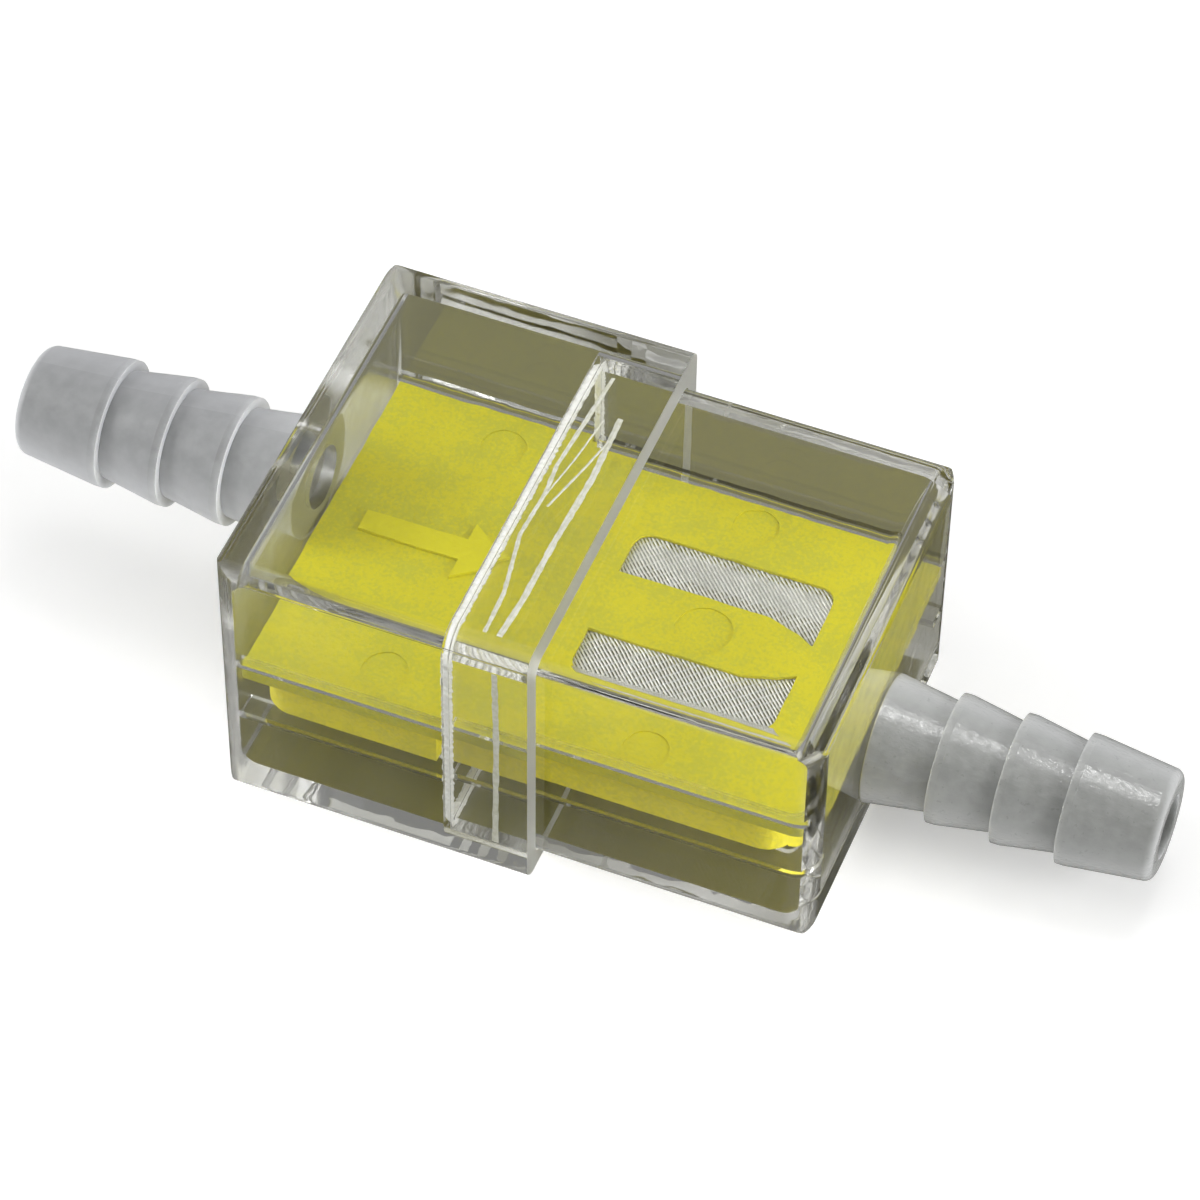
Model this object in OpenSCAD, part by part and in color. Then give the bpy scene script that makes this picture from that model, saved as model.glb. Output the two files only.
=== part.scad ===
// Square see-through in-line fuel filter for small engines.
// Two clear case halves telescope together and are welded. A yellow element lies level across the
// chamber and carries a woven metal screen. Fuel enters above the element and leaves below it.
// Millimetres. +X is the flow direction, +Z is up. The origin is the middle of the underside.

/* [Case] */
// Length of the closed case, from end face to end face
case_l = 37; // [30:0.5:60]
// Length of the inlet half, from its end face to its rim
inlet_l = 19.8; // [16:0.1:24]
// Width of the inlet half
inlet_w = 26.6; // [20:0.1:40]
// Height of the inlet half
inlet_h = 20; // [18:0.1:30]
// How far each side of the outlet half stands in from the inlet half
side_step = 1.3; // [1.1:0.1:2]
// How far the top of the outlet half stands below the inlet half
top_step = 1.8; // [1.5:0.1:2.4]
// How far the underside of the outlet half stands above the inlet half
bottom_step = 1; // [0.8:0.1:2]
// Side walls of the inlet half
inlet_side_wall = 1.55; // [1.4:0.05:2]
// Top and bottom walls of the inlet half
inlet_flat_wall = 2; // [1.6:0.05:2.6]
// Side walls of the outlet half
outlet_side_wall = 1.1; // [0.9:0.05:1.6]
// Top and bottom walls of the outlet half
outlet_flat_wall = 1.4; // [1:0.05:2]
// End wall that carries the hose barb
end_wall = 1.2; // [1:0.1:2.5]
// Rounding of the case's outside edges
edge_r = 1; // [0.4:0.1:1.4]
// Rounding of the upright corners at the case's two closed ends
corner_r = 1.6; // [0.6:0.1:1.8]
// Rounding where the ceiling and the floor of the chamber meet the end wall
chamber_r = 0.9; // [0.3:0.1:1.4]

/* [Weld] */
// How far the outlet half reaches into the inlet half
spigot_l = 5.2; // [3:0.1:7]
// Gap between the two halves' sliding faces
weld_gap = 0.05; // [0.03:0.01:0.15]
// Thickness of the melted bead in front of the spigot's end
bead_t = 0.4; // [0.2:0.05:0.8]

/* [Hose barbs] */
// Length of each barb outside the case
barb_l = 17.7; // [16:0.1:26]
// Diameter over the ridges, for hose of 6 to 6.5 mm bore
ridge_d = 8; // [7:0.1:10]
// Diameter at the foot of each taper
valley_d = 6.8; // [6:0.1:7]
// Diameter at the tip
tip_d = 6.9; // [6:0.1:7]
// Rounding of the tip's edge
tip_r = 0.6; // [0.2:0.1:1]
// Distance from one ridge to the next
ridge_pitch = 4; // [3.4:0.1:5]
// Number of ridges
ridge_count = 3; // [2:1:3]
// Straight crest on each ridge
crest_l = 0.5; // [0.3:0.05:0.8]
// Bore of the fuel passage
bore_d = 4; // [3:0.1:4.6]
// Height of the inlet barb's axis above the middle of the inlet half
inlet_rise = 3.4; // [2:0.1:5]
// Depth of the outlet barb's axis below the middle of the inlet half
outlet_drop = 3.6; // [2:0.1:4]

/* [Element] */
// Height of the plate's top above the middle of the inlet half
plate_rise = 0.5; // [0:0.1:1]
// Thickness of the plate
plate_t = 0.9; // [0.8:0.05:1.5]
// Gap between the plate's edge and the chamber walls
plate_fit = 0.1; // [0.05:0.05:0.3]
// Depth of the tray under the plate
tray_h = 3; // [2:0.1:4]
// How far the tray stands in from the plate's edge
tray_inset = 0.7; // [0.5:0.05:1.2]
// Wall of the tray
tray_wall = 1.2; // [0.8:0.1:2]
// Upright corner rounding of the tray
tray_corner_r = 2; // [1.3:0.1:3]
// Height of the raised flow arrow
arrow_h = 0.25; // [0.1:0.05:0.5]
// Diameter of the round ejector marks in the plate's top
mark_d = 2.8; // [1.5:0.1:3]
// Diameter of the ejector mark on the bar between the windows
bar_mark_d = 3.5; // [1.5:0.1:4]
// Depth of the ejector marks
mark_depth = 0.1; // [0.05:0.05:0.15]
// Distance from the plate's long edges to the middle of the marks
mark_edge = 2.1; // [1.6:0.1:3]
// Distance from the plate's inlet end to its first pair of marks
mark_start = 7.9; // [5:0.1:9]

/* [Screen] */
// Length of each window, along the flow
window_l = 12.7; // [9:0.1:14]
// Width of each window
window_w = 3.4; // [2:0.1:5]
// Width of the bar between the two windows
bar_w = 4.8; // [3:0.1:7]
// Width of the bar where it narrows at its outlet end
bar_nose_w = 2.4; // [1.5:0.1:3]
// Distance from the case's outlet end to the windows
window_end = 5.1; // [3.5:0.1:6]
// Rounding of the windows' outer corners
window_r = 1.1; // [0.3:0.1:1.5]
// Thickness of the woven screen
screen_t = 0.16; // [0.1:0.02:0.3]
// Depth of the screen below the plate's top
screen_depth = 0.25; // [0.2:0.05:0.4]
// How far the screen runs under the plate round the windows
screen_lap = 0.8; // [0.4:0.1:1.5]

/* [Guides] */
// Height of the guide rails along the side walls
rail_h = 0.6; // [0.4:0.05:1]
// How far the upper rails reach over the plate
upper_rail_w = 0.5; // [0.3:0.05:1]
// How far the lower rails reach under the tray
lower_rail_lap = 0.6; // [0.3:0.05:1]
// Play of the element between the rails
rail_fit = 0.05; // [0.03:0.01:0.2]

/* [Hidden] */
$fn = 64;
eps = 0.01;
// How far a cut runs past the face it opens
past = 1;
// Small rounding of the plate's corners
plate_corner_r = 0.2;
// Gap all round the screen in its slot
slot_gap = 0.02;
// How far the melted bead squeezes out of the joint into the chamber's outline
squeeze = 0.2;
// Depth that a rail is rooted into its wall
rail_root = 0.3;

// Case: where things are along the flow, across it and above the underside
inlet_end_x = -case_l / 2;
outlet_end_x = case_l / 2;
rim_x = inlet_end_x + inlet_l;
spigot_x = rim_x - spigot_l;
shoulder_x = spigot_x - bead_t;
outlet_w = inlet_w - 2 * side_step;
outlet_h = inlet_h - top_step - bottom_step;
middle_z = inlet_h / 2;
inlet_chamber_w = inlet_w - 2 * inlet_side_wall;
outlet_chamber_w = outlet_w - 2 * outlet_side_wall;
outlet_floor_z = bottom_step + outlet_flat_wall;
outlet_chamber_h = outlet_h - 2 * outlet_flat_wall;

// Element
plate_z = middle_z + plate_rise;
plate_floor_z = plate_z - plate_t;
tray_z = plate_floor_z - tray_h;
plate_start_x = inlet_end_x + end_wall + plate_fit;
plate_step_x = shoulder_x - plate_fit;
plate_stop_x = outlet_end_x - end_wall - plate_fit;
window_stop_x = outlet_end_x - window_end;
window_start_x = window_stop_x - window_l;
nose_l = window_l / 4;
screen_z = plate_z - screen_depth - screen_t;

// Barbs
inlet_axis_z = middle_z + inlet_rise;
outlet_axis_z = middle_z - outlet_drop;

// Rectangle centred on y, standing on z0, with rounded corners made of true arcs
module soft_rect(w, h, r) {
    translate([-w / 2 + r, 0]) square([w - 2 * r, h]);
    translate([-w / 2, r]) square([w, h - 2 * r]);
    for (sx = [-1, 1], y = [r, h - r]) translate([sx * (w / 2 - r), y]) circle(r);
}

// Outline from x = 0 to x = l, square at x = 0 and rounded at x = l
module soft_nose(l, w, r) {
    translate([0, -w / 2]) square([l - r, w]);
    translate([0, -w / 2 + r]) square([l, w - 2 * r]);
    for (sy = [-1, 1]) translate([l - r, sy * (w / 2 - r)]) circle(r);
}

// Extrude an outline drawn in y and z along x
module along_x(x0, x1) {
    translate([x0, 0, 0]) rotate([90, 0, 90]) linear_extrude(x1 - x0) children();
}

// Closed-end shell form: dir is +1 when the closed end faces +x
module closed_block(open_x, closed_x, w, z0, h, r) {
    dir = closed_x > open_x ? 1 : -1;
    l = abs(closed_x - open_x);
    intersection() {
        along_x(min(open_x, closed_x), max(open_x, closed_x)) translate([0, z0]) soft_rect(w, h, r);
        translate([open_x, 0, z0 - eps]) facing(dir) linear_extrude(h + 2 * eps)
            soft_nose(l, w, corner_r);
        translate([open_x, w / 2 + eps, z0 + h / 2]) facing(dir) rotate([90, 0, 0])
            linear_extrude(w + 2 * eps) soft_nose(l, h, r);
    }
}

// Turn a form round to face -x without mirroring its heights
module facing(dir) {
    if (dir > 0) children();
    else mirror([1, 0, 0]) children();
}

// Chamber: square upright corners, soft ceiling and floor edges at the closed end
module chamber(open_x, closed_x, w, z0, h) {
    dir = closed_x > open_x ? 1 : -1;
    l = abs(closed_x - open_x);
    translate([open_x, w / 2, z0 + h / 2]) facing(dir) rotate([90, 0, 0])
        linear_extrude(w) soft_nose(l, h, chamber_r);
}

// Rails above the plate and below the tray on both side walls
module rails(x0, x1, w) {
    upper_z = plate_z + rail_fit;
    lower_z = tray_z - rail_fit - rail_h;
    lower_w = plate_fit + tray_inset + lower_rail_lap;
    for (sy = [-1, 1]) {
        rail(x0, x1, sy * w / 2, sy, upper_rail_w, upper_z);
        rail(x0, x1, sy * w / 2, sy, lower_w, lower_z);
    }
}

// One rail, rooted a little into the wall at y
module rail(x0, x1, y, side, reach, z) {
    low_y = side > 0 ? y - reach : y - rail_root;
    translate([x0, low_y, z]) cube([x1 - x0, reach + rail_root, rail_h]);
}

// Hole through the end wall at x, in line with the barb's bore
module fuel_hole(x, z) {
    hole_l = 2 * (end_wall + past);
    translate([x, 0, z]) rotate([0, 90, 0]) cylinder(d = bore_d, h = hole_l, center = true);
}

module inlet_case() {
    socket_w = outlet_w + 2 * weld_gap;
    socket_h = outlet_h + 2 * weld_gap;
    color([0.86, 0.88, 0.84, 0.35]) difference() {
        closed_block(rim_x, inlet_end_x, inlet_w, 0, inlet_h, edge_r);
        difference() {
            chamber(rim_x + past, inlet_end_x + end_wall, inlet_chamber_w, inlet_flat_wall,
                    inlet_h - 2 * inlet_flat_wall);
            rails(inlet_end_x, shoulder_x, inlet_chamber_w);
        }
        along_x(shoulder_x, rim_x + past) translate([0, bottom_step - weld_gap])
            soft_rect(socket_w, socket_h, edge_r);
        fuel_hole(inlet_end_x, inlet_axis_z);
    }
}

module outlet_case() {
    color([0.88, 0.88, 0.86, 0.35]) difference() {
        closed_block(spigot_x, outlet_end_x, outlet_w, bottom_step, outlet_h, edge_r);
        difference() {
            chamber(spigot_x - past, outlet_end_x - end_wall, outlet_chamber_w, outlet_floor_z,
                    outlet_chamber_h);
            rails(spigot_x, outlet_end_x, outlet_chamber_w);
        }
        fuel_hole(outlet_end_x, outlet_axis_z);
    }
}

// Half section of a barb: x is the radius, y the distance from the end wall
function ridge_y(i) = ridge_pitch * i;
function ridge_points() = [for (i = [1 : ridge_count]) each [
    [valley_d / 2, ridge_y(i)],
    [ridge_d / 2, ridge_y(i)],
    [ridge_d / 2, ridge_y(i) + crest_l]]];

module barb_section() {
    polygon(concat(
        [[bore_d / 2, 0], [ridge_d / 2, 0]],
        ridge_points(),
        [[tip_d / 2, barb_l - tip_r], [tip_d / 2 - tip_r, barb_l - tip_r],
         [tip_d / 2 - tip_r, barb_l], [bore_d / 2, barb_l]]));
    intersection() {
        translate([tip_d / 2 - tip_r, barb_l - tip_r]) circle(tip_r);
        translate([bore_d / 2, 0]) square([tip_d, barb_l]);
    }
}

module barb(x, z, dir) {
    translate([x, 0, z]) rotate([0, dir * 90, 0]) rotate_extrude() barb_section();
}

module inlet_barb() {
    color([0.62, 0.63, 0.63]) barb(inlet_end_x, inlet_axis_z, -1);
}

module outlet_barb() {
    color([0.62, 0.63, 0.63]) barb(outlet_end_x, outlet_axis_z, 1);
}

// Plan of the element: wide in the inlet half, narrower inside the spigot
module element_plan(inset, corner_r) {
    wide = inlet_chamber_w - 2 * (plate_fit + inset);
    narrow = outlet_chamber_w - 2 * (plate_fit + inset);
    start_x = plate_start_x + inset;
    step_x = plate_step_x - inset;
    stop_x = plate_stop_x - inset;
    middle_x = (start_x + step_x) / 2;
    translate([middle_x, 0]) facing(-1) soft_nose(middle_x - start_x, wide, corner_r);
    translate([middle_x, -wide / 2]) square([step_x - middle_x, wide]);
    translate([middle_x, 0]) soft_nose(stop_x - middle_x, narrow, corner_r);
}

// One window; side is +1 or -1. Its inner edge leans in to a nose at the outlet end
module window_plan(side) {
    inner = bar_w / 2;
    outer = inner + window_w;
    r = window_r;
    nose_x = window_stop_x - nose_l;
    lean_x = window_stop_x - nose_l / 3;
    mirror([0, side > 0 ? 0 : 1]) {
        translate([window_start_x + r, inner]) square([window_l - 2 * r, window_w]);
        translate([window_start_x, inner]) square([window_l, window_w - r]);
        for (x = [window_start_x + r, window_stop_x - r]) translate([x, outer - r]) circle(r);
        polygon([[nose_x, inner + eps], [lean_x, (inner + bar_nose_w / 2) / 2],
                 [window_stop_x, bar_nose_w / 2], [window_stop_x, inner + eps]]);
    }
}

// Plain flow arrow: shaft and head, pointing to the outlet
module flow_arrow() {
    shaft_l = 6.5;
    shaft_w = 1.6;
    head_l = 3;
    head_w = 4.4;
    start_x = plate_start_x + 2.4;
    translate([start_x, -shaft_w / 2]) square([shaft_l + eps, shaft_w]);
    translate([start_x + shaft_l, 0]) polygon([[0, -head_w / 2], [head_l, 0], [0, head_w / 2]]);
}

// Where the ejector pins pushed the plate out of its mould
module ejector_marks() {
    window_middle_x = (window_start_x + window_stop_x) / 2;
    mark_y = outlet_chamber_w / 2 - plate_fit - mark_edge;
    for (x = [plate_start_x + mark_start, window_middle_x], side = [-1, 1])
        translate([x, side * mark_y]) circle(d = mark_d);
    translate([window_middle_x, 0]) circle(d = bar_mark_d);
}

// Outline of the screen, grown by extra all round
module screen_plan(extra) {
    reach = bar_w / 2 + window_w + screen_lap + extra;
    translate([window_start_x - screen_lap - extra, -reach])
        square([window_l + 2 * (screen_lap + extra), 2 * reach]);
}

module element_plate() {
    color([0.80, 0.76, 0.18]) {
        difference() {
            translate([0, 0, plate_floor_z]) linear_extrude(plate_t) element_plan(0, plate_corner_r);
            translate([0, 0, plate_floor_z - past]) linear_extrude(plate_t + 2 * past) {
                window_plan(1);
                window_plan(-1);
            }
            translate([0, 0, screen_z - slot_gap]) linear_extrude(screen_t + 2 * slot_gap)
                screen_plan(slot_gap);
            translate([0, 0, plate_z - mark_depth]) linear_extrude(mark_depth + past) ejector_marks();
        }
        translate([0, 0, plate_z - eps]) linear_extrude(arrow_h + eps) flow_arrow();
    }
}

module element_tray() {
    color([0.76, 0.68, 0.12]) translate([0, 0, tray_z]) difference() {
        linear_extrude(tray_h) element_plan(tray_inset, tray_corner_r);
        translate([0, 0, -past]) linear_extrude(tray_h + 2 * past)
            element_plan(tray_inset + tray_wall, tray_corner_r - tray_wall);
    }
}

module screen_mesh() {
    color([0.72, 0.72, 0.70]) translate([0, 0, screen_z]) linear_extrude(screen_t) screen_plan(0);
}

module weld_bead() {
    color([0.93, 0.94, 0.92]) along_x(shoulder_x, spigot_x) difference() {
        translate([0, bottom_step]) soft_rect(outlet_w, outlet_h, edge_r);
        translate([-outlet_chamber_w / 2 - squeeze, outlet_floor_z - squeeze])
            square([outlet_chamber_w + 2 * squeeze, outlet_chamber_h + 2 * squeeze]);
    }
}

inlet_case();
outlet_case();
inlet_barb();
outlet_barb();
element_plate();
element_tray();
screen_mesh();
weld_bead();
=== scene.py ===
# %% [markdown]
# # A see-through in-line fuel filter
# This lesson gives a small welded plastic fuel filter its finish. The CAD model already holds every
# moulded part at its real size, so it comes in first and nothing in it is moved. What is added is what
# CAD leaves out: the woven wire of the screen, the ragged melted bead of the weld, and the plastics.

# %% Load the CAD model
import bpy, math, random
from mathutils import Matrix, Vector


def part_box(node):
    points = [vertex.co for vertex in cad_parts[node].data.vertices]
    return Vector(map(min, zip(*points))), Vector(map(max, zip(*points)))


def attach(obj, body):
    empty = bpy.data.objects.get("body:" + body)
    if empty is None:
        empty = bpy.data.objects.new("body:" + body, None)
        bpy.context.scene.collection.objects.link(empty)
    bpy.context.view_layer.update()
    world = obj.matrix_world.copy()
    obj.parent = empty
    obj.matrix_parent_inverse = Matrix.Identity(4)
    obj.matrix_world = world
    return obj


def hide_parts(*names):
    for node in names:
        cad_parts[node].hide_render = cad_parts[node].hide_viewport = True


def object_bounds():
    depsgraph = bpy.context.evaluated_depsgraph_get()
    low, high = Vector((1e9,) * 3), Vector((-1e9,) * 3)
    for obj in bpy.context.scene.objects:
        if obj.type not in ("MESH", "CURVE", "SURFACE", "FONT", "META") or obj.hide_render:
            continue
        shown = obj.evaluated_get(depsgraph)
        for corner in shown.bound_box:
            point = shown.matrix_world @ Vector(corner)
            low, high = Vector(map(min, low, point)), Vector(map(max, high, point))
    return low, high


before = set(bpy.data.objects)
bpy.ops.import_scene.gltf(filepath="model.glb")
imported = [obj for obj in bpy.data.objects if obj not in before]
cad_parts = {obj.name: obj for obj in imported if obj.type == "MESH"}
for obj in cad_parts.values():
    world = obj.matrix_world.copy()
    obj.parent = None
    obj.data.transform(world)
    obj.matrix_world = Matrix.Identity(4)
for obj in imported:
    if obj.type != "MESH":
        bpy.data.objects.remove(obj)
cad_low, cad_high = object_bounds()
mm = 0.001
print("CAD nodes:", ", ".join(sorted(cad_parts)))
print("CAD size in mm:", [round((high - low) / mm, 2) for low, high in zip(cad_low, cad_high)])

# %% [markdown]
# ## Camera
# A long lens a good way off keeps the square case square. The camera looks at a point inside the case,
# from above and from the outlet side. Three angles place it: round the object, up, and a slight roll.

# %% Camera
aim = Vector((0.20, 0.72, 10.0)) * mm
camera_distance = 316.8 * mm
camera_round = math.radians(21.15)
camera_up = math.radians(49.36)
camera_roll = math.radians(0.883)
level = math.cos(camera_up)
back = Vector((math.sin(camera_round) * level, -math.cos(camera_round) * level, math.sin(camera_up)))
camera_data = bpy.data.cameras.new("camera")
camera_data.lens = 160
camera_data.sensor_width = 36
camera_data.clip_start = 0.01
camera = bpy.data.objects.new("camera", camera_data)
bpy.context.collection.objects.link(camera)
camera.location = aim + back * camera_distance
camera.rotation_mode = "QUATERNION"
level_turn = (-back).to_track_quat("-Z", "Y")
camera.rotation_quaternion = level_turn @ Matrix.Rotation(camera_roll, 3, "Z").to_quaternion()
bpy.context.scene.camera = camera
print("camera at mm:", [round(value / mm, 1) for value in camera.location])

# %% [markdown]
# ## Helpers for materials
# Every finish here is one Principled shader with a few procedural nodes in front of it. They could be
# wired by hand in the shader editor, but the same four or five moves come back for every plastic. So
# each move gets a small function: a node, a wire, noise in real millimetres, a blend and a bump.

# %% Nodes and wires
def new_finish(name):
    """A material with one Principled node, and that node."""
    finish = bpy.data.materials.new(name)
    finish.use_nodes = True
    return finish, finish.node_tree.nodes["Principled BSDF"]


def wire(finish, start, end):
    finish.node_tree.links.new(start, end)


def node(finish, kind, **settings):
    """A node of that kind; settings are its own fields or, by their names, its inputs."""
    made = finish.node_tree.nodes.new(kind)
    for name, value in settings.items():
        if hasattr(made, name):
            setattr(made, name, value)
        else:
            made.inputs[name.replace("_", " ")].default_value = value
    return made


def fill(finish, socket, value):
    """Puts a number or a colour on a socket, or wires another node's output to it."""
    if isinstance(value, bpy.types.NodeSocket):
        wire(finish, value, socket)
    elif isinstance(value, (tuple, list)):
        socket.default_value = (*value, 1)
    else:
        socket.default_value = value


print("helpers for nodes: new_finish, wire, node, fill")

# %% Noise, blends and bumps
def noise(finish, scale, detail=3.0, stretch=(1, 1, 1)):
    """Noise in the object's own millimetres: scale is how many blobs there are in a millimetre."""
    place = node(finish, "ShaderNodeTexCoord")
    sizing = node(finish, "ShaderNodeMapping")
    sizing.inputs["Scale"].default_value = [1 / mm * value for value in stretch]
    made = node(finish, "ShaderNodeTexNoise", Scale=scale, Detail=detail)
    wire(finish, place.outputs["Object"], sizing.inputs["Vector"])
    wire(finish, sizing.outputs["Vector"], made.inputs["Vector"])
    return made.outputs["Fac"]


def spread(finish, source, low, high, start=0.3, end=0.7):
    """Turns a source that runs from start to end into values from low to high."""
    made = node(finish, "ShaderNodeMapRange")
    for name, value in (("From Min", start), ("From Max", end), ("To Min", low), ("To Max", high)):
        made.inputs[name].default_value = value
    wire(finish, source, made.inputs["Value"])
    return made.outputs["Result"]


def blend_colours(finish, source, first, second):
    """A colour between first and second, as source goes from 0 to 1. Each is a colour or an output."""
    made = node(finish, "ShaderNodeMix", data_type="RGBA")
    colour_inputs = [socket for socket in made.inputs if socket.type == "RGBA"]
    for socket, colour in zip(colour_inputs, (first, second)):
        fill(finish, socket, colour)
    wire(finish, source, made.inputs["Factor"])
    return [socket for socket in made.outputs if socket.type == "RGBA"][0]


def arithmetic(finish, operation, *values):
    """One step of arithmetic on numbers or outputs."""
    made = node(finish, "ShaderNodeMath", operation=operation)
    for socket, value in zip(made.inputs, values):
        fill(finish, socket, value)
    return made.outputs["Value"]


def place_along(finish, axis):
    """How far along the object's X, Y or Z the point lies, in metres."""
    place = node(finish, "ShaderNodeTexCoord")
    split = node(finish, "ShaderNodeSeparateXYZ")
    wire(finish, place.outputs["Object"], split.inputs["Vector"])
    return split.outputs[axis]


def bump(finish, shader, height, depth):
    """Raises the surface by height, from 0 to 1, times depth in millimetres."""
    made = node(finish, "ShaderNodeBump", Distance=depth * mm)
    wire(finish, height, made.inputs["Height"])
    wire(finish, made.outputs["Normal"], shader.inputs["Normal"])
    return made


print("helpers for patterns: noise, spread, blend_colours, arithmetic, place_along, bump")

# %% [markdown]
# ## Floor
# The floor is a plain pale sheet that glows a little, so that it stays white under soft light. It is
# kept out of reflections: a white floor mirrored in the upright walls would lay a grey veil over the
# yellow element behind them.

# %% Floor
def flat_sheet(name, half_size, height, finish):
    """A square sheet on the floor, as staging and not as part of the object."""
    corners = [(x * half_size, y * half_size, height) for x, y in ((-1, -1), (1, -1), (1, 1), (-1, 1))]
    mesh = bpy.data.meshes.new(name)
    mesh.from_pydata(corners, [], [(0, 1, 2, 3)])
    mesh.materials.append(finish)
    sheet = bpy.data.objects.new(name, mesh)
    bpy.context.collection.objects.link(sheet)
    return sheet


floor_finish, floor_shader = new_finish("floor_paper")
floor_shader.inputs["Base Color"].default_value = (0.96, 0.96, 0.955, 1)
floor_shader.inputs["Emission Color"].default_value = (1, 1, 1, 1)
floor_shader.inputs["Emission Strength"].default_value = 0.25
floor_shader.inputs["Roughness"].default_value = 0.8
floor_shader.inputs["Specular IOR Level"].default_value = 0.1
floor = flat_sheet("floor", 0.9, cad_low.z - 0.02 * mm, floor_finish)
floor.visible_glossy = False
print("floor at mm:", round(cad_low.z / mm, 2))

# %% [markdown]
# ## Bench cards
# Clear plastic only looks like plastic when something dark shows through it and something pale lines
# its edges. On a real bench the bench itself and the shadow of the case on it do that. Here a wide card
# does: dark olive under the case and behind it, the bench's dark and a painted shadow of the case in one,
# and pale in between, where the edges pick up their light. A plain coloured floor would do the same but
# would show all round the object. So the card shows only to light that has passed through the plastic,
# the way a studio hides a card behind glassware. A second card, dark all over, shows only in reflections.

# %% The card's dark and pale parts
dark_reach_x, dark_reach_y = 20.6 * mm, 11.2 * mm
dark_shift = 3.4 * mm
pale_stop_y = 19.5 * mm
# Dark olive under and behind the case: the bench's own dark and a painted shadow of the case in one.
olive, grey_olive, paper = (0.20, 0.18, 0.035), (0.20, 0.19, 0.11), (0.92, 0.92, 0.90)

bench_finish, bench_shader = new_finish("bench_card")
bench_shader.inputs["Roughness"].default_value = 0.7
card_x, card_y = place_along(bench_finish, "X"), place_along(bench_finish, "Y")
from_middle_x = arithmetic(bench_finish, "ABSOLUTE", arithmetic(bench_finish, "ADD", card_x, dark_shift))
from_middle_y = arithmetic(bench_finish, "ABSOLUTE", card_y)
past_ends = arithmetic(bench_finish, "GREATER_THAN", from_middle_x, dark_reach_x)
past_sides = arithmetic(bench_finish, "GREATER_THAN", from_middle_y, dark_reach_y)
outside = arithmetic(bench_finish, "MAXIMUM", past_ends, past_sides)
near_back = arithmetic(bench_finish, "LESS_THAN", card_y, pale_stop_y)
drift = spread(bench_finish, noise(bench_finish, 0.07, 1), 0.45, 1.0, 0.40, 0.60)
pale = arithmetic(bench_finish, "MULTIPLY", arithmetic(bench_finish, "MULTIPLY", near_back, outside), drift)
behind_case = arithmetic(bench_finish, "GREATER_THAN", card_y, dark_reach_y)
shade = blend_colours(bench_finish, behind_case, olive, grey_olive)
wire(bench_finish, blend_colours(bench_finish, pale, shade, paper), bench_shader.inputs["Base Color"])

dark_finish, dark_shader = new_finish("dark_card")
dark_shader.inputs["Base Color"].default_value = (0.08, 0.075, 0.03, 1)
dark_shader.inputs["Roughness"].default_value = 0.7
print("dark part in mm:", [round(2 * reach / mm, 1) for reach in (dark_reach_x, dark_reach_y)])

# %% The two hidden cards
def hidden_card(name, height, finish, seen_in):
    """A wide card that shows only by way of the plastic: seen_in is transmission or glossy."""
    card = flat_sheet(name, 0.5, height, finish)
    card.visible_camera = False
    card.visible_diffuse = False
    card.visible_shadow = False
    card.visible_transmission = seen_in == "transmission"
    card.visible_glossy = seen_in == "glossy"
    return card


cards = [hidden_card("bench_card", cad_low.z - 0.01 * mm, bench_finish, "transmission"),
         hidden_card("dark_card", cad_low.z - 0.03 * mm, dark_finish, "glossy")]
print("cards:", ", ".join(card.name for card in cards))

# %% [markdown]
# ## The room
# The room is evenly dim with one bright cap overhead, a little towards the front. The dot product with
# the cap's direction says how near a ray goes to it, and a colour ramp turns that into brightness. The
# sharp edge of the cap is what draws crisp lines along the rounded edges of the case.

# %% Room
room = bpy.data.worlds.new("room")
room.use_nodes = True
bpy.context.scene.world = room
room_nodes, room_links = room.node_tree.nodes, room.node_tree.links
room_light = room_nodes["Background"]
direction = room_nodes.new("ShaderNodeTexCoord")
towards_cap = room_nodes.new("ShaderNodeVectorMath")
towards_cap.operation = "DOT_PRODUCT"
towards_cap.inputs[1].default_value = Vector((0.10, -0.30, 0.95)).normalized()
brightness = room_nodes.new("ShaderNodeValToRGB")
room_links.new(direction.outputs["Generated"], towards_cap.inputs[0])
room_links.new(towards_cap.outputs["Value"], brightness.inputs["Fac"])
room_links.new(brightness.outputs["Color"], room_light.inputs["Color"])
ramp = brightness.color_ramp
ramp.elements[0].position = 0.0
ramp.elements[0].color = (0.36, 0.36, 0.36, 1)
ramp.elements[1].position = 0.90
ramp.elements[1].color = (1.0, 1.0, 1.0, 1)
edge_of_cap = ramp.elements.new(0.78)
edge_of_cap.color = (0.30, 0.30, 0.30, 1)
room_light.inputs["Strength"].default_value = 0.80
print("room strength:", round(room_light.inputs["Strength"].default_value, 2))

# %% [markdown]
# ## Lamps
# A soft box overhead and a strip at each end light the element through the case. The box and the outlet
# strip are kept out of reflections, or they would show as white patches on the flat top. The outlet
# barb has a polished skin that wants a highlight, so one small lamp shines on that barb alone.

# %% Lamps
def soft_box(name, place, width, height, power, mirrored=True):
    """A rectangular lamp at place, in millimetres, turned to face the middle of the case."""
    lamp_data = bpy.data.lights.new(name, "AREA")
    lamp_data.shape = "RECTANGLE"
    lamp_data.size = width * mm
    lamp_data.size_y = height * mm
    lamp_data.energy = power
    lamp = bpy.data.objects.new(name, lamp_data)
    lamp.location = Vector(place) * mm
    lamp.rotation_mode = "QUATERNION"
    lamp.rotation_quaternion = (aim - lamp.location).to_track_quat("-Z", "Y")
    lamp.visible_glossy = mirrored
    bpy.context.collection.objects.link(lamp)
    return lamp


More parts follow.
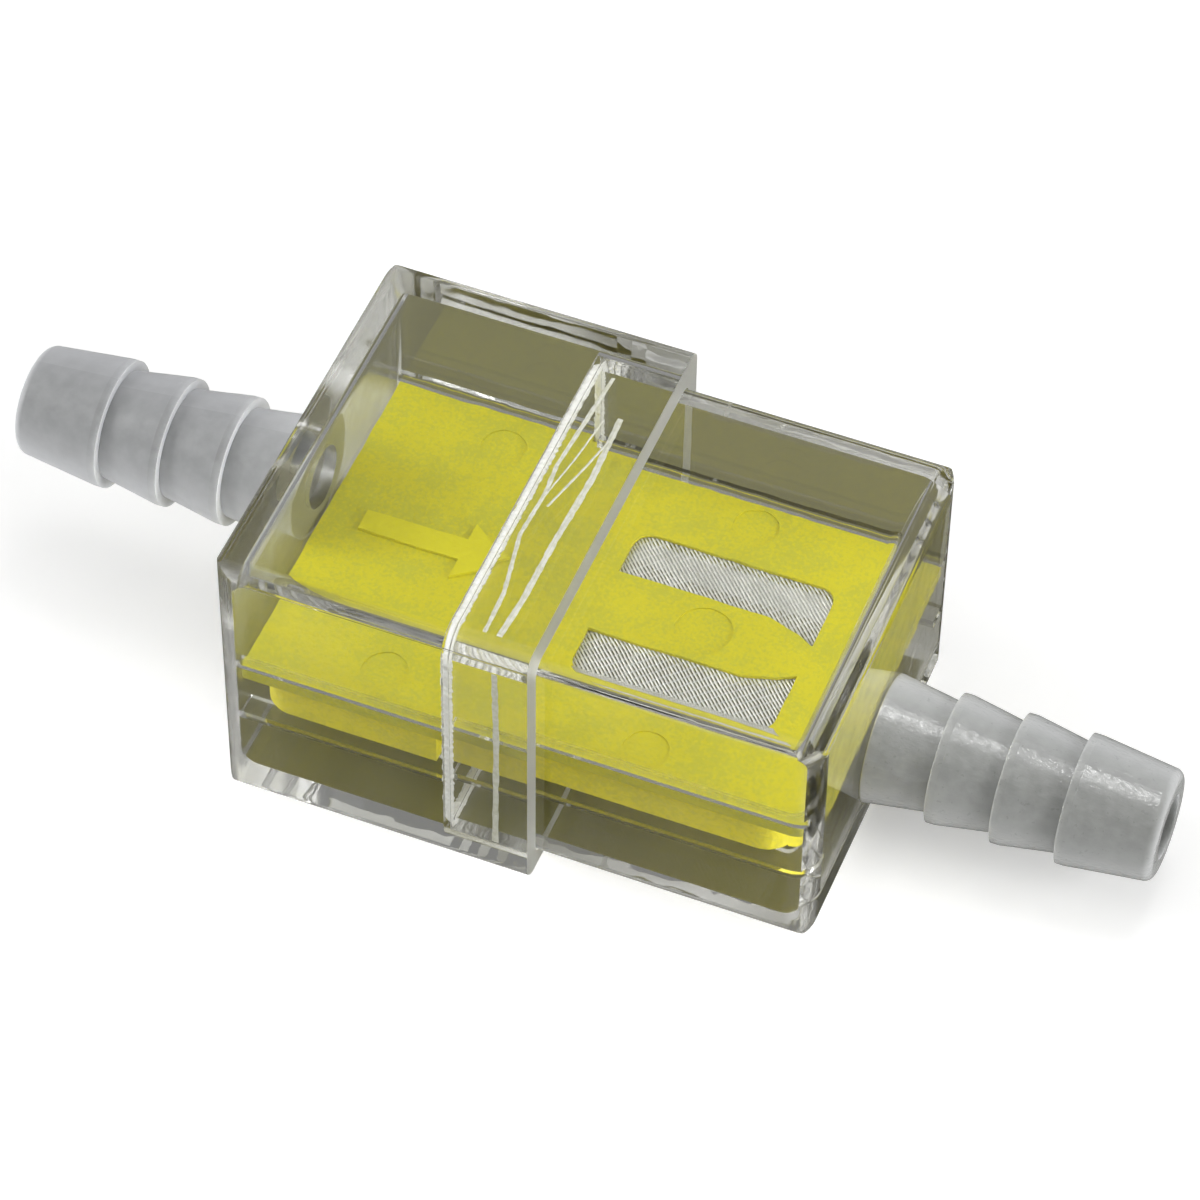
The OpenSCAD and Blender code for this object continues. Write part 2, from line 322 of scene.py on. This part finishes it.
overhead = (43, 62, 460)
soft_box("key_box", overhead, 130, 130, 0.27, mirrored=False)
sparkle_box = soft_box("sparkle_box", overhead, 90, 90, 0.7)
sparkle_on = bpy.data.collections.new("sparkle_on")
sparkle_on.objects.link(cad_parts["outlet_barb"])
sparkle_box.light_linking.receiver_collection = sparkle_on
soft_box("side_strip", (420, -60, 160), 120, 300, 1.2, mirrored=False)
soft_box("left_strip", (-380, -120, 200), 100, 300, 0.8)

# %% [markdown]
# ## Clear case
# The two halves look like clear styrene. See-through plastic could be faked with a transparent shader,
# but light bends strongly in styrene. So each wall is a real solid with an inside and an outside, and
# its shader refracts. A little waviness and faint moulding haze keep the reflections from looking like
# window glass. Two places are rougher: the end wall, which is cloudy round the barb, and the face at the
# half's open end, which is frosted all over.

# %% Clear plastic
end_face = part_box("outlet_case")[1][0]
cloud_starts, cloud_full = end_face - 2.2 * mm, end_face - 1.2 * mm


def let_light_through(finish, shader, share):
    """Lamps shine straight through the plastic, dimmed to share at each face."""
    path = node(finish, "ShaderNodeLightPath")
    clear = node(finish, "ShaderNodeBsdfTransparent", Color=(share, share, share, 1))
    mixed = node(finish, "ShaderNodeMixShader")
    wire(finish, path.outputs["Is Shadow Ray"], mixed.inputs["Fac"])
    wire(finish, shader.outputs["BSDF"], mixed.inputs[1])
    wire(finish, clear.outputs["BSDF"], mixed.inputs[2])
    wire(finish, mixed.outputs["Shader"], finish.node_tree.nodes["Material Output"].inputs["Surface"])


def clear_plastic(name, tint, haze, open_end, cloudy):
    """open_end is the x of the frosted face, and cloudy is the extra roughness at the end wall."""
    finish, shader = new_finish(name)
    shader.inputs["Base Color"].default_value = (*tint, 1)
    shader.inputs["Transmission Weight"].default_value = 1.0
    shader.inputs["IOR"].default_value = 1.49
    along = place_along(finish, "X")
    at_open_end = arithmetic(finish, "COMPARE", along, open_end, 0.03 * mm)
    at_end_wall = spread(finish, arithmetic(finish, "ABSOLUTE", along), 0, cloudy, cloud_starts, cloud_full)
    faint = spread(finish, noise(finish, 0.35, 4), 0.0, haze, 0.45, 0.8)
    rough = arithmetic(finish, "ADD", faint, at_end_wall)
    wire(finish, arithmetic(finish, "MULTIPLY_ADD", at_open_end, 0.5, rough), shader.inputs["Roughness"])
    bump(finish, shader, noise(finish, 0.25, 2), 0.02)
    let_light_through(finish, shader, 0.93)
    return finish


def give(piece_node, finish):
    """Swaps the finish of a CAD node."""
    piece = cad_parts[piece_node]
    piece.data.materials.clear()
    piece.data.materials.append(finish)


inlet_rim_x, spigot_end_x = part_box("inlet_case")[1][0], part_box("outlet_case")[0][0]
give("inlet_case", clear_plastic("clear_styrene_inlet", (0.93, 0.935, 0.915), 0.06, inlet_rim_x, 0.14))
give("outlet_case", clear_plastic("clear_styrene_outlet", (0.94, 0.94, 0.92), 0.05, spigot_end_x, 0.04))
print("clear halves meet between x mm:", round(spigot_end_x / mm, 2), "and", round(inlet_rim_x / mm, 2))

# %% [markdown]
# ## Hose barbs
# The barbs hold the hoses, and their skin is frosted and grey. Plain grey paint would look dead, for
# light enters such plastic a little way and comes out again: that is subsurface scattering. A blend to a
# paler colour where the skin turns away from the view paints a glow onto the thin rims: painted light.
# Small ripples roughen the skin, and the outlet barb also has a clear coat with finer ripples, which
# breaks its highlight up. The root, which sits against the cloudy end wall, takes the wall's own tone, or
# it would show as a grey disc behind it.

# %% Frosted barbs
root_colour = (0.34, 0.33, 0.24)


def frosted_plastic(name, grey, painted_rim_glow, ripples, roughness, shine):
    """ripples is how many there are to the millimetre, and how deep they are in millimetres."""
    finish, shader = new_finish(name)
    mottle = spread(finish, noise(finish, 1.2, 4), 0, 1, 0.35, 0.65)
    skin = blend_colours(finish, mottle, grey, [value * 1.2 for value in grey])
    # Painted rim light: the skin is painted paler where it turns away from the view.
    facing = node(finish, "ShaderNodeLayerWeight", Blend=0.5).outputs["Facing"]
    skin = blend_colours(finish, facing, skin, painted_rim_glow)
    outward = arithmetic(finish, "ABSOLUTE", place_along(finish, "X"))
    past_wall = spread(finish, outward, 0, 1, end_face, end_face + 0.1 * mm)
    wire(finish, blend_colours(finish, past_wall, root_colour, skin), shader.inputs["Base Color"])
    wire(finish, spread(finish, noise(finish, 3.0, 3), roughness - 0.08, roughness + 0.12),
         shader.inputs["Roughness"])
    shader.inputs["Subsurface Weight"].default_value = 0.8
    shader.inputs["Subsurface Radius"].default_value = (1, 1, 1)
    shader.inputs["Subsurface Scale"].default_value = 1.2 * mm
    shader.inputs["IOR"].default_value = 1.49
    shader.inputs["Coat Weight"].default_value = shine
    shader.inputs["Coat Roughness"].default_value = 0.10
    count, depth = ripples
    coat = bump(finish, shader, noise(finish, 2.2 * count, 2, (0.5, 1, 1)), 1.8 * depth)
    wire(finish, coat.outputs["Normal"], shader.inputs["Coat Normal"])
    bump(finish, shader, noise(finish, count, 3, (0.5, 1, 1)), depth)
    return finish


give("inlet_barb", frosted_plastic("frosted_barb_inlet", (0.27, 0.275, 0.275), (0.80, 0.81, 0.84),
                                   (3.0, 0.02), 0.40, 0.0))
give("outlet_barb", frosted_plastic("frosted_barb_outlet", (0.22, 0.225, 0.215), (0.74, 0.75, 0.76),
                                    (2.0, 0.03), 0.34, 1.0))
print("barbs start at x mm:", round(end_face / mm, 2))

# %% [markdown]
# ## Yellow element
# The plate and the tray under it are an opaque yellow moulding with a waxy skin. The colour drifts
# between lemon and a duller mustard where the plastic flowed, and it is finely grained on top of that. A
# painted picture could carry both, but two noises of very different size, added together, stay sharp
# from any distance. The top of the raised arrow is painted brighter, a painted highlight where its relief
# would catch the light, so the colour changes with height there. The tray is painted brighter than the
# plate, to lift the shade it sits in under the plate: painted light.

# %% Yellow moulded plastic
arrow_painted_highlight = (0.66, 0.605, 0.004)


def yellow_plastic(name, bright, dull, raised_from=None):
    """raised_from is the height in metres above which the surface is painted brighter, as a painted
    highlight, if it is anywhere.
    """
    finish, shader = new_finish(name)
    flow = spread(finish, noise(finish, 0.45, 5, (0.6, 1, 1)), 0, 0.8, 0.40, 0.60)
    grain = spread(finish, noise(finish, 5.0, 3), -0.9, 1.0, 0.3, 0.7)
    colour = blend_colours(finish, arithmetic(finish, "ADD", flow, grain), bright, dull)
    if raised_from is not None:
        # Painted highlight: the raised arrow's top is painted brighter, where its relief would catch the
        # light.
        raised = spread(finish, place_along(finish, "Z"), 0, 1, raised_from, raised_from + 0.1 * mm)
        colour = blend_colours(finish, raised, colour, arrow_painted_highlight)
    wire(finish, colour, shader.inputs["Base Color"])
    wire(finish, spread(finish, noise(finish, 2.5, 4), 0.35, 0.6), shader.inputs["Roughness"])
    bump(finish, shader, noise(finish, 2.2, 5), 0.05)
    return finish


arrow_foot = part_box("element_plate")[1][2] - 0.2 * mm
give("element_plate", yellow_plastic("yellow_plate", (0.61, 0.55, 0.005), (0.51, 0.49, 0.022), arrow_foot))
# Painted light: the tray's yellow is set far brighter than the plate's, the same moulding, to lift the
# shade under the plate.
give("element_tray", yellow_plastic("yellow_tray", (0.92, 0.80, 0.006), (0.78, 0.70, 0.02)))
print("arrow is brighter above z mm:", round(arrow_foot / mm, 2))

# %% [markdown]
# ## Woven screen
# The screen is fine stainless wire cloth, laid so that its close wires run slantwise across the
# windows. Each close wire goes over and under stout wires that cross it, which gives the ribbed look.
# A picture of cloth would look flat from the side, so every wire is a small six-sided tube that follows
# its own wave and is cut to the edge of the cloth.

# %% One wire
wire_sides = 6
shortest_wire = 0.2 * mm


def wire_tube(points, radius, verts, faces):
    """Adds a tube along points to verts and faces. The wires are level enough for one upright frame."""
    sides, first = wire_sides, len(verts)
    for index, point in enumerate(points):
        before, after = points[max(index - 1, 0)], points[min(index + 1, len(points) - 1)]
        along = (after - before).normalized()
        across = Vector((-along.y, along.x, 0)).normalized()
        upward = along.cross(across) * -1
        for side in range(sides):
            turn = 2 * math.pi * side / sides
            verts.append(point + (across * math.cos(turn) + upward * math.sin(turn)) * radius)
    for index in range(len(points) - 1):
        for side in range(sides):
            low = first + index * sides
            following = (side + 1) % sides
            faces.append((low + side, low + following, low + sides + following, low + sides + side))
    faces.append(tuple(first + side for side in reversed(range(sides))))
    faces.append(tuple(first + (len(points) - 1) * sides + side for side in range(sides)))


def clip_line(middle, along, low, high):
    """Where the level line through middle enters and leaves the rectangle low to high, or None."""
    start, end = -1.0, 1.0
    for axis in (0, 1):
        if abs(along[axis]) < 1e-9:
            continue
        first = (low[axis] - middle[axis]) / along[axis]
        second = (high[axis] - middle[axis]) / along[axis]
        start, end = max(start, min(first, second)), min(end, max(first, second))
    return (start, end) if end - start > shortest_wire else None


print("wires have", wire_sides, "sides and are longer than", round(shortest_wire / mm, 2), "mm")

# %% Wire cloth
def lay_wires(along, pitch, radius, wave, wave_length, verts, faces, low, high):
    """Lays parallel wires pitch apart. Neighbours are half a wave apart, as in plain weave."""
    across = Vector((-along.y, along.x, 0))
    centre = (low + high) / 2
    reach = (high - low).length / 2
    count = int(reach / pitch)
    for number in range(-count, count + 1):
        middle = centre + across * (number * pitch)
        span = clip_line(middle, along, low, high)
        if span is None:
            continue
        steps = max(4, int((span[1] - span[0]) / (wave_length / 4)))
        points = []
        for step in range(steps + 1):
            travel = span[0] + (span[1] - span[0]) * step / steps
            point = middle + along * travel
            point.z = centre.z + wave * math.cos(2 * math.pi * travel / wave_length + math.pi * number)
            points.append(point)
        wire_tube(points, radius, verts, faces)


def smooth_object(name, verts, faces):
    """A new object with smooth shading, linked to the scene."""
    mesh = bpy.data.meshes.new(name)
    mesh.from_pydata(verts, [], faces)
    for face in mesh.polygons:
        face.use_smooth = True
    made = bpy.data.objects.new(name, mesh)
    bpy.context.collection.objects.link(made)
    return made


cloth_low, cloth_high = (Vector(corner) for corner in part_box("screen_mesh"))
close_way, stout_way = Vector((1, -1, 0)).normalized(), Vector((1, 1, 0)).normalized()
close_pitch, close_radius, close_wave = 0.216 * mm, 0.080 * mm, 0.018 * mm
stout_pitch, stout_radius = 0.52 * mm, 0.05 * mm
under = Vector((0, 0, 0.06 * mm))
cloth_verts, cloth_faces = [], []
lay_wires(close_way, close_pitch, close_radius, close_wave, 2 * stout_pitch, cloth_verts, cloth_faces,
          cloth_low, cloth_high)
lay_wires(stout_way, stout_pitch, stout_radius, 0.0, 2 * close_pitch, cloth_verts, cloth_faces,
          cloth_low - under, cloth_high - under)
wire_cloth = smooth_object("wire_cloth", cloth_verts, cloth_faces)
print("wire cloth faces:", len(cloth_faces))

# %% Steel of the cloth
steel, steel_shader = new_finish("stainless_wire")
tarnish = spread(steel, noise(steel, 0.8, 3), 0, 1, 0.35, 0.65)
wire(steel, blend_colours(steel, tarnish, (0.92, 0.92, 0.90), (0.78, 0.78, 0.75)),
     steel_shader.inputs["Base Color"])
steel_shader.inputs["Metallic"].default_value = 0.7
wire(steel, spread(steel, noise(steel, 5, 2), 0.35, 0.5), steel_shader.inputs["Roughness"])
wire_cloth.data.materials.append(steel)
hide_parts("screen_mesh")
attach(wire_cloth, "root")
print("wire cloth stands for screen_mesh")

# %% [markdown]
# ## Weld bead
# The halves are pushed together and welded, most likely by vibration, and a ragged bead of melted
# plastic squeezes out along the spigot's end. A plain tube would look machined. So the bead is a closed
# tube that follows the spigot's rounded square, with its radius and its path shaken at every step by
# seeded dice, which fall the same way each time. Melted styrene freezes full of tiny bubbles, so the
# bead is whitish and hardly lets light through.

# %% The bead's path
def rounded_loop(half_width, low_z, high_z, radius, spacing):
    """Points round a rounded rectangle across the flow, spacing apart."""
    corners = [(half_width - radius, high_z - radius, 0), (-half_width + radius, high_z - radius, 90),
               (-half_width + radius, low_z + radius, 180), (half_width - radius, low_z + radius, 270)]
    loop = []
    for number, (y, z, start) in enumerate(corners):
        for step in range(5):
            turn = math.radians(start + 90 * step / 4)
            loop.append((y + radius * math.cos(turn), z + radius * math.sin(turn)))
        to_y, to_z, next_start = corners[(number + 1) % 4]
        turn = math.radians(next_start)
        here, there = loop[-1], (to_y + radius * math.cos(turn), to_z + radius * math.sin(turn))
        steps = int(math.dist(here, there) / spacing)
        for step in range(1, steps):
            share = step / steps
            loop.append((here[0] + (there[0] - here[0]) * share, here[1] + (there[1] - here[1]) * share))
    return loop


bead_low, bead_high = (Vector(corner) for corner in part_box("weld_bead"))
bead_x = (bead_low.x + bead_high.x) / 2
side_wall, flat_wall = 1.1 * mm, 1.4 * mm
bead_loop = rounded_loop(bead_high.y - side_wall / 2, bead_low.z + flat_wall / 2,
                         bead_high.z - flat_wall / 2, 0.9 * mm, 0.12 * mm)
print("bead at x mm:", round(bead_x / mm, 2), "with", len(bead_loop), "points round it")

# %% Ragged bead
dice = random.Random(7)


def ragged_ring(name, x, loop, radius, wobble):
    """A closed tube round the loop at x, thick and thin by turns."""
    sides = 8
    verts, faces = [], []
    count = len(loop)
    for index, (y, z) in enumerate(loop):
        (y0, z0), (y1, z1) = loop[index - 1], loop[(index + 1) % count]
        along = Vector((0, y1 - y0, z1 - z0)).normalized()
        out = along.cross(Vector((1, 0, 0)))
        thick = radius * dice.uniform(0.85, 1.15)
        middle = Vector((x + dice.uniform(-wobble, wobble), y, z)) + out * dice.uniform(-wobble, wobble)
        for side in range(sides):
            turn = 2 * math.pi * side / sides
            verts.append(middle + (Vector((1, 0, 0)) * math.cos(turn) + out * math.sin(turn)) * thick)
    for index in range(count):
        here, there = index * sides, (index + 1) % count * sides
        for side in range(sides):
            following = (side + 1) % sides
            faces.append((here + side, there + side, there + following, here + following))
    return smooth_object(name, verts, faces)


weld_ring = ragged_ring("weld_ring", bead_x, bead_loop, 0.36 * mm, 0.04 * mm)
print("weld ring faces:", len(weld_ring.data.polygons))

# %% Melted plastic
melted, melted_shader = new_finish("melted_styrene")
bubbles = spread(melted, noise(melted, 4, 3), 0, 1, 0.4, 0.6)
wire(melted, blend_colours(melted, bubbles, (1.0, 1.0, 1.0), (0.94, 0.94, 0.92)),
     melted_shader.inputs["Base Color"])
melted_shader.inputs["Transmission Weight"].default_value = 0.05
melted_shader.inputs["IOR"].default_value = 1.5
wire(melted, spread(melted, noise(melted, 6, 2), 0.15, 0.4), melted_shader.inputs["Roughness"])
bump(melted, melted_shader, noise(melted, 7, 3), 0.05)
weld_ring.data.materials.append(melted)
print("bead finish:", melted.name)

# %% [markdown]
# ## Melt lines
# Where the two halves slide over each other, plastic wetted the gap in a few thin milky lines. They
# could be painted into the clear plastic, but a painted line has no place of its own in a wall that
# bends light. So each line is a thin flat ribbon that lies in the gap, and joins the bead's mesh.

# %% The ribbon
spigot_low, spigot_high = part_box("outlet_case")
gap_middle = 0.025 * mm
ribbon_rise = 0.02 * mm
parts = 14
shake, thin, thick = 0.012, 0.8, 1.1


def melt_line(stops, half_width, upright):
    """A thin closed ribbon through stops in mm: x and y on the spigot or, if upright, x and z in front."""
    path = [(x0 + (x1 - x0) * step / parts, a0 + (a1 - a0) * step / parts)
            for (x0, a0), (x1, a1) in zip(stops, stops[1:]) for step in range(parts)] + [stops[-1]]
    verts, faces = [], []
    for x, along in path:
        x = (x + dice.uniform(-shake, shake)) * mm
        half = half_width * mm * dice.uniform(thin, thick)
        for across, out in ((-half, 0), (0, -ribbon_rise), (half, 0), (0, ribbon_rise)):
            if upright:
                verts.append((x + across, spigot_low[1] - gap_middle - out, along * mm))
            else:
                verts.append((x + across, along * mm, spigot_high[2] + gap_middle + out))
    for first in range(0, len(verts) - 4, 4):
        for side in range(4):
            following = (side + 1) % 4
            faces.append((first + side, first + 4 + side, first + 4 + following, first + following))
    last = len(verts) - 4
    faces.append((0, 1, 2, 3))
    faces.append((last + 3, last + 2, last + 1, last))
    return verts, faces


print("ribbons are", round(2 * ribbon_rise / mm, 2), "mm thick, over the spigot's top at z mm:",
      round(spigot_high[2] / mm, 2))

# %% Milky finish and the five lines
wetted, wetted_shader = new_finish("wetted_joint")
milky = spread(wetted, noise(wetted, 3, 3), 0, 1, 0.4, 0.6)
wire(wetted, blend_colours(wetted, milky, (0.92, 0.92, 0.86), (0.75, 0.75, 0.62)),
     wetted_shader.inputs["Base Color"])
wetted_shader.inputs["Transmission Weight"].default_value = 0.3
wetted_shader.inputs["Roughness"].default_value = 0.35

long_line = [(-2.7, 9.9), (-3.2, 2.2), (-3.0, 0), (-3.15, -3.6), (-2.3, -8.1), (-2.2, -11.2)]
broad_line = [(-1.1, 7.0), (-0.9, 2.0), (-1.1, -3.7), (-1.1, -8.2), (-1.3, -11.2)]
branch, whisker = [(-1.0, 5.5), (-1.6, 2.7), (-2.5, -1.0)], [(-2.0, 6.5), (-2.4, 3.0), (-3.0, -0.5)]
front_line = [(-1.0, 17.4), (-0.9, 11.0), (-1.0, 2.0)]
for stops, half_width, upright in ((long_line, 0.14, False), (broad_line, 0.20, False),
                                   (branch, 0.08, False), (whisker, 0.06, False), (front_line, 0.20, True)):
    line_mesh = bpy.data.meshes.new("melt_line")
    line_verts, line_faces = melt_line(stops, half_width, upright)
    line_mesh.from_pydata(line_verts, [], line_faces)
    line_mesh.materials.append(wetted)
    strip = bpy.data.objects.new("melt_line", line_mesh)
    bpy.context.collection.objects.link(strip)
    with bpy.context.temp_override(active_object=weld_ring, selected_editable_objects=[weld_ring, strip]):
        bpy.ops.object.join()
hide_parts("weld_bead")
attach(weld_ring, "root")
print("bead and melt lines, faces:", len(weld_ring.data.polygons))

# %% [markdown]
# ## Bounces and colours
# A ray that enters clear plastic at an edge is turned back and forth many times before it gets out. If
# it is stopped too soon, the edge goes black, so the bounces are raised. The Standard view shows each
# colour as it was set, which keeps the floor white and the yellow clean.

# %% Bounces and colours
cycles = bpy.context.scene.cycles
cycles.max_bounces = 32
cycles.transmission_bounces = 32
cycles.glossy_bounces = 32
bpy.context.scene.view_settings.view_transform = "Standard"
print("bounces:", cycles.max_bounces)
